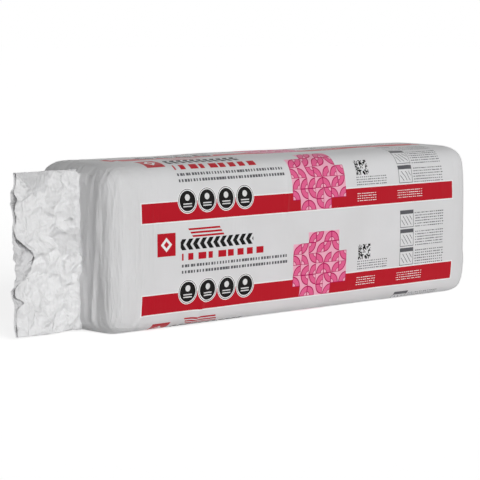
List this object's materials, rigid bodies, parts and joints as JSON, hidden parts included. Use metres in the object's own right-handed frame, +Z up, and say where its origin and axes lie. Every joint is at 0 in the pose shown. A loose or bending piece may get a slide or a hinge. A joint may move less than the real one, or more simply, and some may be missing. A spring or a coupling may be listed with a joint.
{
  "type": "bag of mineral wool insulation batts",
  "caption": "Tight printed plastic film bag packed with mineral wool batts, lying on its long narrow side, with a flat crumpled tail of film at one end.",
  "frame": {"origin": "middle of the footprint, on the floor that the bag lies on", "axes": "+X along the bag from the tail to the closed end, +Y across its depth away from the printed broad side seen in front, +Z up"},
  "size_m": [1.424, 0.3028, 0.394],
  "materials": {
    "film": "satin",
    "wool": "matt, fibrous"
  },
  "bodies": {
    "root": {"film_bag": "film", "batt_1": "wool", "batt_2": "wool", "batt_3": "wool", "batt_4": "wool"}
  },
  "joints": []
}
